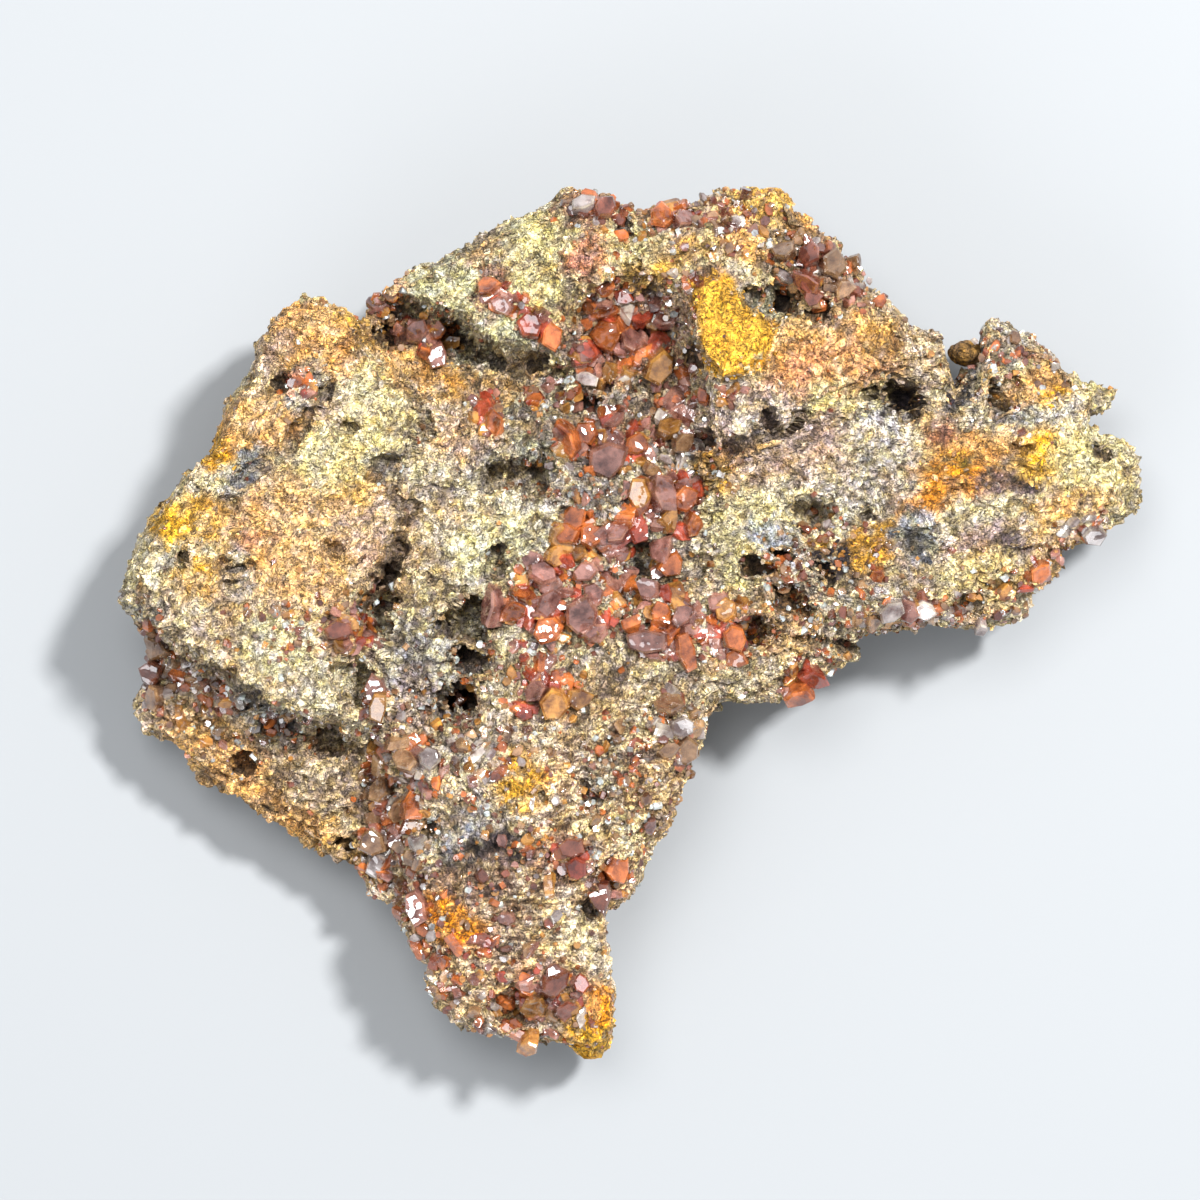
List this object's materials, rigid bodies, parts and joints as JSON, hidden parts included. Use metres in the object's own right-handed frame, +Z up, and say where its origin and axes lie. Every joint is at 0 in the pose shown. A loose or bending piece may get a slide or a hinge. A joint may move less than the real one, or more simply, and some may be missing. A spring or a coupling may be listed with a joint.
{
  "type": "wulfenite on matrix mineral specimen",
  "caption": "Irregular iron-stained rock matrix with a flat resting face, carrying clusters of small thick orange-red translucent crystals in its hollows and along its edges.",
  "frame": {"origin": "on the flat resting face under the matrix, below the middle of the outline seen from above", "axes": "+Z up out of the crystal-bearing side, +X along the longest extent towards the east lobe, +Y towards the north edge, with the resting face on z = 0"},
  "size_m": [0.1042, 0.0888, 0.0285],
  "materials": {
    "matrix_rock": "rough granular rock, cream to ochre with grey and dark brown stains",
    "crystal": "smooth translucent orange-red to brown crystal with a resinous shine"
  },
  "bodies": {
    "root": {"barrel_crystal": "crystal", "bright_red_crystals": "crystal", "brown_bead_crystal": "crystal", "cavern_crystal": "crystal", "dark_red_crystals": "crystal", "east_lobe_bead": "crystal", "east_rim_crystals": "crystal", "east_rim_prism": "crystal", "east_slope_druse": "crystal", "east_tip_crystals": "crystal", "east_vein_crystals": "crystal", "gully_crystals": "crystal", "hollow_crystals": "crystal", "lower_south_west_druse": "crystal", "matrix": "matrix_rock", "middle_vein_crystals": "crystal", "north_east_druse": "crystal", "north_ridge_crystals": "crystal", "north_vein_crystals": "crystal", "orange_east_crystal": "crystal", "orange_egg_crystals": "crystal", "pentagon_crystals": "crystal", "red_hollow_crystals": "crystal", "ridge_top_druse": "crystal", "saddle_crystals_east": "crystal", "saddle_crystals_north": "crystal", "saddle_crystals_west": "crystal", "saddle_plate": "crystal", "slab_edge_crystal": "crystal", "south_edge_crystals": "crystal", "south_pocket_crystals": "crystal", "south_rim_crystals": "crystal", "south_rim_prism": "crystal", "south_west_druse": "crystal", "top_rim_druse": "crystal", "upper_south_west_druse": "crystal", "west_shelf_druse": "crystal", "window_crystals": "crystal"}
  },
  "joints": []
}
